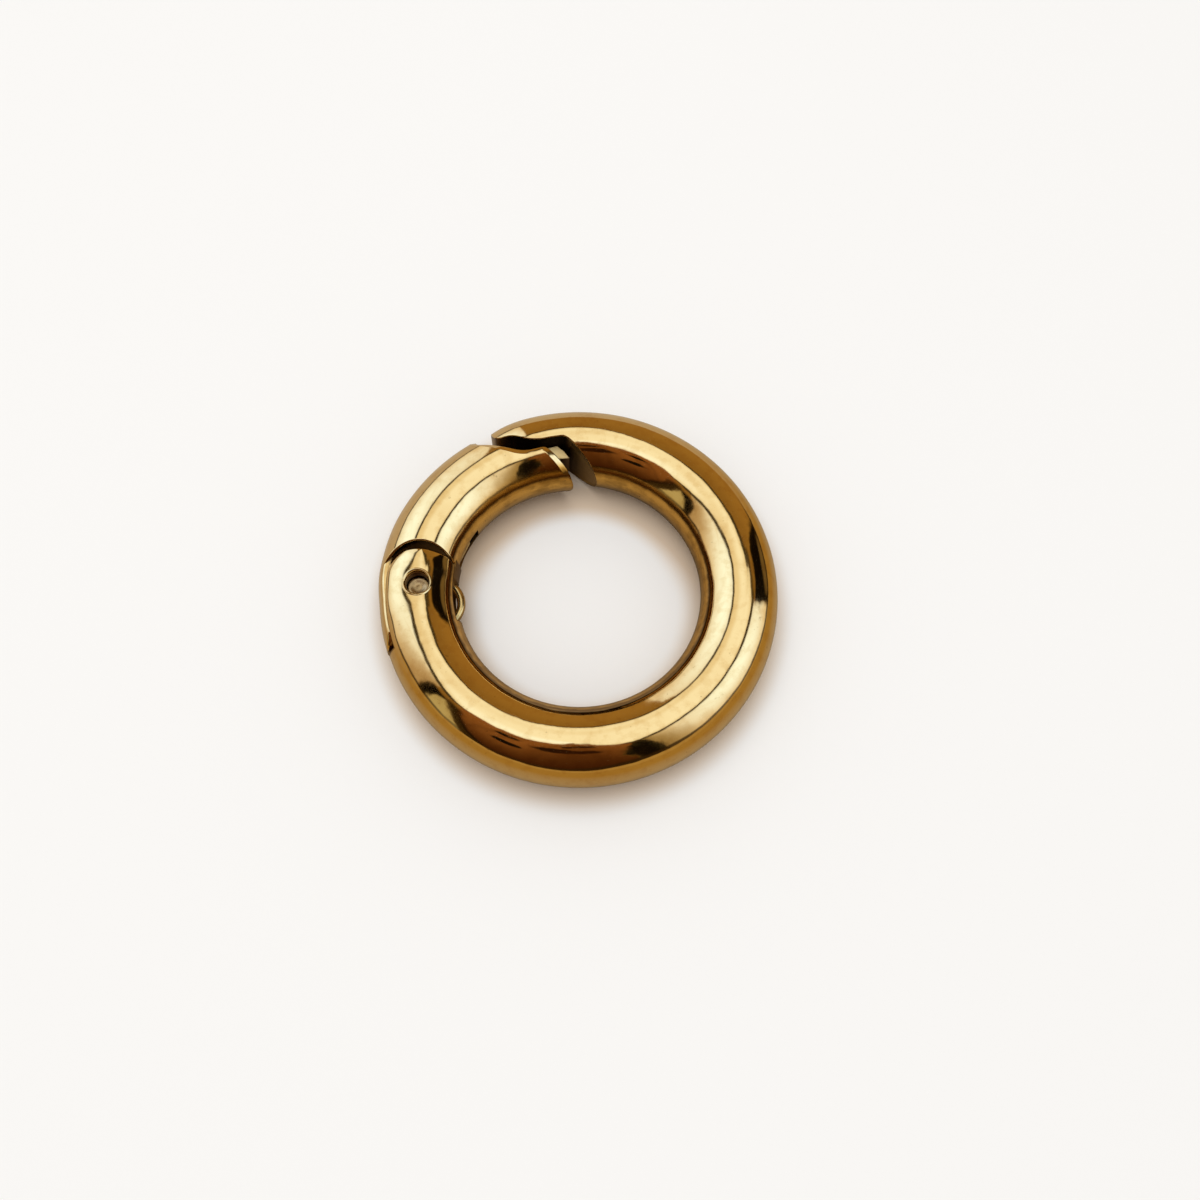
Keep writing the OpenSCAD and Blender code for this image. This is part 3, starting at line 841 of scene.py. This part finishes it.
def feed(node, inputs):
    # links finished values to a node's sockets
    for key, value in inputs.items():
        value.tree.links.new(value.socket, node.inputs[key])


goldLook = {
    "skin": (0.87, 0.635, 0.325),      # polished gold plating
    "worn": (0.72, 0.46, 0.19),        # where it has dulled
    "stain": (0.30, 0.17, 0.06),       # small brown specks
    "inner": (0.74, 0.42, 0.10),       # the ring's inner side, less polished
    "innerStain": (0.46, 0.25, 0.055),
    "shade": (0.20, 0.10, 0.03),       # painted shade: a dark line along it, where the plating mirrors the shaded floor under the ring
    "wall": (0.15, 0.075, 0.022),      # the cut walls: rougher plating, and painted darker as shade in the cuts
    # painted shade: black deep in the nose's hollow, lighter where the walls end
    "wallDeep": (0.02, 0.01, 0.003), "wallEnd": (0.34, 0.175, 0.045),
    "ground": (0.84, 0.62, 0.28),      # the key's ground top
    "rough": 0.065, "innerRough": 0.20, "wallRough": 0.28, "groundRough": 0.5,
    "waves": 30, "ripple": 5, "grain": 0.5, "pits": 9,  # the unevenness, in thousandths of a millimetre
}


def goldMaterial(name, look):
    material, at, surface = newMaterial(name)
    place = at.node("TexCoord", output=3)
    cut = at.node("Attribute", {"attribute_name": "cutWall"}, output=2)
    ground = cut.ramp(1.3, 1.8)
    wall = cut.ramp(0.2, 0.9) * (1 - ground)
    east, north, height = place.parts(3, 1000)
    reach = (east ** 2 + north ** 2) ** 0.5
    # a point's place on the tube: inwards runs from -1 on its outer side to 1 on its inner, rise from -1 to 1
    inwards = (ringTube["bend"] - reach) / ringTube["radius"]
    rise = (height - ringTube["middle"]) / ringTube["radius"]
    patches, mottle, grain = place.noise(300, 3), place.noise(1500, 3), place.noise(5200, 3, 0.6)
    # streaks that run along the bend
    streaks = at.vector(east / reach * 7, north / reach * 7, height * 3.2).noise(1.0, 3, 0.6)
    inner = (inwards + (place.noise(700, 2) - 0.5) * 0.15).ramp(0.70, 0.92)
    # the dark line along the inner side is a painted reflection of the shaded floor and the dark horizon,
    # placed where they would be mirrored
    line = rise + north / reach * 0.075 + (mottle - 0.5) * 0.14
    shade = line.within(0.51, 0.64, 0.05, 0.05) * inwards.ramp(0.5, 0.7)
    dull = patches.ramp(0.45, 0.72) * 0.28 + mottle.ramp(0.45, 0.68) * 0.42 + streaks.ramp(0.5, 0.75) * 0.08
    specks = place.noise(2300, 4, 0.7).ramp(0.64, 0.72) * (0.45 + 0.55 * inner)
    colour = dull.mixColour(look["skin"], look["worn"])
    innerDull = (streaks * 0.35 + patches * 0.35 + mottle * 0.3).ramp(0.42, 0.60)
    colour = inner.mixColour(colour, innerDull.mixColour(look["inner"], look["innerStain"]))
    colour = (shade * 0.85).mixColour(colour, look["shade"])
    colour = (specks * 0.8).mixColour(colour, look["stain"])
    # painted shade on the cut walls: black in the hollow of the nose's cut, and lighter towards both ends of
    # its walls, where they catch the light
    deep = 1 - (((east + 2.9) / 1.9) ** 2 + ((north - 9.9) / 1.5) ** 2).ramp(0.6, 1.3)
    end = east.ramp(-1.5, 0.2) * north.ramp(0, 1) + (1 - east.ramp(-6.2, -4.7)) * north.ramp(8, 9) * 0.7
    wallColour = deep.mixColour(end.mixColour(look["wall"], look["wallEnd"]), look["wallDeep"])
    colour = ground.mixColour(wall.mixColour(colour, wallColour), look["ground"])
    rough = look["rough"] + mottle.ramp(0.45, 0.85) * 0.06 + specks * 0.12
    rough = rough + inner * (look["innerRough"] - look["rough"]) + wall * (look["wallRough"] - look["rough"])
    rough = rough + wall * deep * 0.5 + ground * (look["groundRough"] - look["rough"])
    bumps = place.noise(380, 1) * look["waves"] + place.noise(1200, 1) * look["ripple"]
    bumps = bumps + grain * look["grain"] + inner * mottle * look["pits"]
    feed(surface, {
        "Base Color": colour, "Roughness": rough,
        "Metallic": 1 - ground * 0.75 - wall * end * (1 - deep) * 0.5,
        "Normal": at.node("Bump", None, {"Height": bumps, "Strength": 1.0, "Distance": 1e-6})})
    return material


steelLook = {
    "pinSteel": {"colour": (0.50, 0.33, 0.17), "rough": 0.28},
    "springSteel": {"colour": (0.72, 0.50, 0.22), "rough": 0.22},
}


def steelMaterial(name):
    look = steelLook[name]
    material, at, surface = newMaterial(name)
    grain = at.node("TexCoord", output=3).noise(1800.0, 3.0, 0.6)
    dull = tuple(c * 0.6 for c in look["colour"])
    feed(surface, {"Base Color": grain.ramp(0.3, 0.8).mixColour(look["colour"], dull),
                   "Roughness": look["rough"] + (grain - 0.5) * 0.15})
    surface.inputs["Metallic"].default_value = 1.0
    return material


body = ringBody()
gate = gateArm()
pin = hingePin()
spring = springWire()
print("pieces built")

goldPlate = goldMaterial("goldPlate", goldLook)
for obj, material in ((body, goldPlate), (gate, goldPlate), (pin, steelMaterial("pinSteel")),
                      (spring, steelMaterial("springSteel"))):
    obj.data.materials.append(material)
print("materials made")

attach(body, "ring")
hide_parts("ring_body")
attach(gate, "gate_arm")
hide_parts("gate")
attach(pin, "ring")
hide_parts("hinge_pin")
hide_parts("gate_spring")
print("pieces placed")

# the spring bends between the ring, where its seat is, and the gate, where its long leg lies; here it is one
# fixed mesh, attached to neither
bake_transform(spring)

# What the polished plating mirrors: colours of each bright or dark part of the studio
studio = {
    "ceiling": (1.12, 1.20, 1.16), "ceilingBright": (1.20, 1.42, 1.62), "ceilingDim": (0.92, 0.85, 0.62),
    "ceilingEdge": (0.88, 0.80, 0.56),
    "leftBox": (1.22, 1.56, 1.95), "leftBoxEdge": (0.82, 0.70, 0.47), "leftBoxDim": (0.50, 0.38, 0.22),
    "rightBox": (1.22, 1.56, 1.95), "rightBoxEdge": (0.84, 0.71, 0.46), "rightBoxDim": (0.38, 0.29, 0.14),
    "backWall": (0.34, 0.19, 0.040), "streak": (0.06, 0.05, 0.02), "brown": (0.16, 0.11, 0.04),
    "frontHigh": (0.28, 0.115, 0.030), "frontLow": (0.045, 0.013, 0.003),
    "olive": (0.52, 0.46, 0.24), "seam": (0.055, 0.040, 0.014), "black": (0.006, 0.004, 0.002),
    "low": (0.44, 0.29, 0.090), "horizon": (0.030, 0.016, 0.005), "diffuse": (0.62, 0.62, 0.62),
}

# Its edges: degrees round, and degrees down or strength at that place
studioRound = {
    "rim": [(-90, 1), (-75, 7), (-60, 17), (-50, 20), (-30, 21), (-15, 23), (0, 27), (15, 31.5), (30, 36),
            (46, 34), (52, 30), (64, 30), (76, 31), (82, 33.5), (89, 41), (95, 42.5), (104, 39.2), (110, 36),
            (117, 34), (131, 27), (145, 25), (165, 25.5), (195, 27.5), (203, 21), (215, 16), (240, 10),
            (260, 3), (270, 1)],
    "seam": [(-62, 0), (-54, 1), (25, 1), (40, 0.8), (50, 1), (82, 1), (90, 0.75), (105, 0.85), (125, 1),
             (195, 1), (203, 0)],
    "seamDepth": [(-50, 4), (0, 5.5), (25, 7), (42, 5), (60, 6), (76, 4), (80, 2.5), (104, 4.5), (120, 6),
                  (150, 6), (190, 5)],
    "floor": [(-90, 84), (-60, 80), (-30, 82), (0, 86), (20, 89), (45, 90), (180, 90), (190, 84), (230, 83),
              (270, 84)],
    "line": [(-90, 0.7), (-62, 0.9), (-30, 0.85), (20, 0.9), (44, 0.9), (50, 0), (105, 0), (112, 0.9),
             (195, 0.9), (230, 0.5), (270, 0.7)],
    "lineDeep": [(-60, 9), (-40, 7), (-20, 4.5), (40, 4), (180, 4), (240, 7)],
}

# And its upright edges: degrees down, and degrees round at that height
studioDown = {
    "frontRight": [(15, -48), (21, -53), (30, -62), (50, -68), (60, -65), (80, -62)],
    "frontLeft": [(12, 195), (25, 198), (38, 207), (50, 214), (62, 220), (80, 229)],
    "rightEnd": [(36, 29), (46, 23), (60, 18), (80, 16)],
    "leftEnd": [(30, 190), (45, 194), (60, 197), (85, 199)],
}

# Dark spots on the front: degrees round and down, half width, half height
frontSpots = [(-86, 29, 9, 4.5), (-84, 14, 8, 2.4), (237, 43, 8, 4.5), (261, 28, 14, 6.5), (264, 16, 9, 2.4),
              (228, 26, 7, 3.6)]

world = bpy.data.worlds.new("studioWorld")
world.use_nodes = True
bpy.context.scene.world = world
sky = Shader(world.node_tree)
axes = sky.node("TexCoord").parts()
# degrees down from straight up, and round from +X, from -90 to 270
down = sky.maths("ARCCOSINE", axes[2]) * (180 / math.pi)
around = 90 + sky.maths("ARCTAN2", -axes[0], axes[1]) * (180 / math.pi)
stripes = sky.vector(around * 0.16, down * 0.02).noise(1.0, 3.0, 0.6)
ragged = sky.vector(around * 0.12, down * 0.12).noise(1.0, 2.0, 0.6) - 0.5


def spot(x, y, centreX, centreY, wide, high, soft):
    # one inside an oval, and nought outside it
    away = (((x - centreX) / wide) ** 2 + ((y - centreY) / high) ** 2) ** 0.5
    return 1 - away.over(1, soft)


def lightBox(under, side, oval, start, end, dim):
    # a box laid over what is under it: brightest in its middle, striped, and dim along one side
    edge = studio[side + "BoxEdge"]
    box = spot(around, down, *oval, 0.9).mixColour(edge, studio[side + "Box"])
    box = (stripes.ramp(0.45, 0.8) * 0.35).mixColour(box, edge)
    box = dim.mixColour(box, studio[side + "BoxDim"])
    return around.within(start, end, 0.8, 1.5).mixColour(under, box)


rim = around.brokenLine(studioRound["rim"]) + ragged * 1.5
floorLine = around.brokenLine(studioRound["floor"]) + ragged * 1.5
frontRight = down.brokenLine(studioDown["frontRight"]) + ragged * 3
frontLeft = down.brokenLine(studioDown["frontLeft"]) + ragged * 3
rightEnd = down.brokenLine(studioDown["rightEnd"]) + ragged * 2
leftEnd = down.brokenLine(studioDown["leftEnd"])

colour = (1 - down.over(55, 20)).mixColour(studio["backWall"], tuple(c * 0.8 for c in studio["backWall"]))
# the front, darker towards the floor
front = down.over(52, 34).mixColour(studio["frontHigh"], studio["frontLow"])
front = (stripes.ramp(0.45, 0.75) * 0.5).mixColour(front, studio["frontLow"])
for oval in frontSpots:
    front = spot(around + ragged * 6, down + ragged * 7, *oval, 0.2).mixColour(front, studio["black"])
for centre in (272, -88):
    front = (spot(around, down, centre, 55, 22, 50, 0.8) * 0.7).mixColour(front, studio["frontLow"])
isFront = (1 - around.over(frontRight, 1.2)) + around.over(frontLeft, 1.5)
colour = isFront.mixColour(colour, front)
# the black streak to the right of the front
streak = around.within(frontRight, -50, 1.2, 0.8)
colour = streak.mixColour(colour, stripes.ramp(0.5, 0.8).mixColour(studio["black"], studio["streak"]))
colour = lightBox(colour, "right", (-4, 48, 28, 26), -50, rightEnd, 1 - around.over(-40, 9))
# the black panel beside it, with something brown low down in front of it
panel = around.within(rightEnd, 42, 1.5, 0.8) * down.over(46 + ragged * 6, 3)
brown = spot(around, down, 29, 84, 9, 11, 0.25)
colour = panel.mixColour(colour, brown.mixColour(studio["black"], studio["brown"]))
colour = lightBox(colour, "left", (146, 52, 30, 30), 110, leftEnd, around.over(184, 12))
# a dark gap, an olive panel and a slanting black stripe between the left box and the front
gap = around.within(leftEnd, 203, 1.2, 0.8) * down.over(40, 4)
olive = around.within(203, frontLeft - 6, 0.8, 1.5) * down.over(42, 3)
stripe = around.within(frontLeft - 6, frontLeft + 3, 1.5, 2.0) * down.over(36, 5) * 0.9
for mask, shown in ((gap, "black"), (olive, "olive"), (stripe, "black")):
    colour = mask.mixColour(colour, studio[shown])
# the seam under the ceiling, and the ceiling itself
seamEnd = rim + around.brokenLine(studioRound["seamDepth"]) + ragged * 5
seam = around.brokenLine(studioRound["seam"]) * (1 - down.over(seamEnd, 2.2))
colour = seam.mixColour(colour, studio["seam"])
ceiling = spot(around, down, 225, 8, 60, 16, 0.7).mixColour(studio["ceiling"], studio["ceilingBright"])
ceiling = (spot(around, down, 124, 27, 30, 9, 0.6) * 0.8).mixColour(ceiling, studio["ceilingDim"])
ceiling = (down.over(rim - 3.5, 4) * 0.6).mixColour(ceiling, studio["ceilingEdge"])
colour = (1 - down.over(rim, 1.2)).mixColour(colour, ceiling)
# the line along the floor, then the floor itself
lineStart = floorLine - around.brokenLine(studioRound["lineDeep"]) + ragged * 5
line = around.brokenLine(studioRound["line"]) * down.over(lineStart, 2.2)
colour = line.mixColour(colour, studio["horizon"])
colour = down.over(floorLine + 1, 1.0).mixColour(colour, studio["low"])
seen = sky.node("Background", None, {"Color": colour, "Strength": 1.0})
# light for everything that isn't a mirror is even
even = sky.node("Background", None, {"Color": (*studio["diffuse"], 1), "Strength": 1.0})
isMirrored = sky.node("LightPath", output=3)
both = sky.node("MixShader", None, {0: isMirrored, 1: even, 2: seen})
feed(world.node_tree.nodes["World Output"], {0: both})
world.cycles.sampling_method = "NONE"
print("world made")

# the pale floor; the plating mirrors it as a painted glow, much darker than it looks from above
floorLook = {
    "colour": (0.90, 0.885, 0.865), "paintedWarmTint": (0.77, 0.62, 0.47), "half": 0.6,
    "mirrored": (0.385, 0.237, 0.058), "mirroredNear": (0.40, 0.31, 0.19), "mirroredBack": (0.53, 0.45, 0.34),
    "mirroredHidden": (0.012, 0.006, 0.002),
    # how well it is hidden from the light, by distance from the ring's middle
    "hidden": [(3.5, 0), (6.2, 0.35), (7.6, 0.75), (8.6, 0.96), (11.8, 0.96), (12.8, 0.3), (14.5, 0)],
}
floorMesh = bpy.data.meshes.new("floor")
h = floorLook["half"]
floorMesh.from_pydata([(-h, -h, 0), (h, -h, 0), (h, h, 0), (-h, h, 0)], [], [(0, 1, 2, 3)])
newObject("floor", floorMesh)
floorMaterial, at, surface = newMaterial("paleFloor")
surface.inputs["Roughness"].default_value = 0.9
surface.inputs["Specular IOR Level"].default_value = 0.1
east, north = at.node("TexCoord", output=3).parts(2, 1000)
reach = (east ** 2 + north ** 2) ** 0.5
# painted warm shadow and bounce light from the plating close to the ring, most inside it at the back
paintedWarmShadow = (1 - abs(reach - 10.1).ramp(2.2, 3.9)) * 0.85
paintedWarmShadowBack = (1 - abs(reach - 7.2).ramp(0.4, 1.5)) * (north / (reach + 1)).ramp(0.0, 0.7)
feed(surface, {"Base Color": (paintedWarmShadow + paintedWarmShadowBack * 0.6).mixColour(floorLook["colour"], floorLook["paintedWarmTint"])})
# hidden from the light under the ring and close to it, and brighter towards the back and the right
back = ((north * 0.87 - east * 0.5) / (reach + 1)).ramp(0.0, 0.92)
mirrored = (1 - reach.ramp(13.0, 26.0)).mixColour(floorLook["mirrored"], floorLook["mirroredNear"])
mirrored = back.mixColour(mirrored, floorLook["mirroredBack"])
mirrored = reach.brokenLine(floorLook["hidden"]).mixColour(mirrored, floorLook["mirroredHidden"])
# the floor as the plating mirrors it: a painted glow, with painted shade under the ring
mirror = at.node("Emission", None, {"Color": mirrored, "Strength": 1.0})
plain = Shader(floorMaterial.node_tree, surface.outputs[0])
isMirrored = at.node("LightPath", output=3)
both = at.node("MixShader", None, {0: isMirrored, 1: plain, 2: mirror})
feed(floorMaterial.node_tree.nodes["Material Output"], {0: both})
floorMesh.materials.append(floorMaterial)

lampLook = {"size": 0.5, "energy": 1.40, "colour": (1.0, 0.995, 0.985), "place": (-0.04, 0.04, 0.50)}
lamp = bpy.data.lights.new("softLamp", "AREA")
lamp.shape = "DISK"
lamp.size = lampLook["size"]
lamp.energy = lampLook["energy"]
lamp.color = lampLook["colour"]
lampObject = newObject("softLamp", lamp)
lampObject.location = lampLook["place"]
lampObject.rotation_euler = (-Vector(lampLook["place"])).to_track_quat("-Z", "Y").to_euler()
lampObject.visible_glossy = False
print("floor and lamp made")

# the photo's camera, fitted to the ring's outlines, in degrees and millimetres
photoView = {"elevation": 69.34684, "roll": -2.24169, "lens": 35.6006, "place": (1.309, -26.928, 72.424)}
elevation, roll = math.radians(photoView["elevation"]), math.radians(photoView["roll"])
right, up = Vector((1, 0, 0)), Vector((0, math.sin(elevation), math.cos(elevation)))
behind = Vector((0, -math.cos(elevation), math.sin(elevation)))
across = right * math.cos(roll) - up * math.sin(roll)
upright = right * math.sin(roll) + up * math.cos(roll)
camera = bpy.data.cameras.new("photoCamera")
camera.lens = photoView["lens"]
camera.sensor_width = 36.0
camera.clip_start = 0.001
cameraObject = newObject("photoCamera", camera)
turn = Matrix((across, upright, behind)).transposed().to_4x4()
cameraObject.matrix_world = Matrix.Translation(Vector(photoView["place"]) * mm) @ turn
bpy.context.scene.camera = cameraObject
bpy.context.scene.view_settings.view_transform = "Standard"

print("camera set")
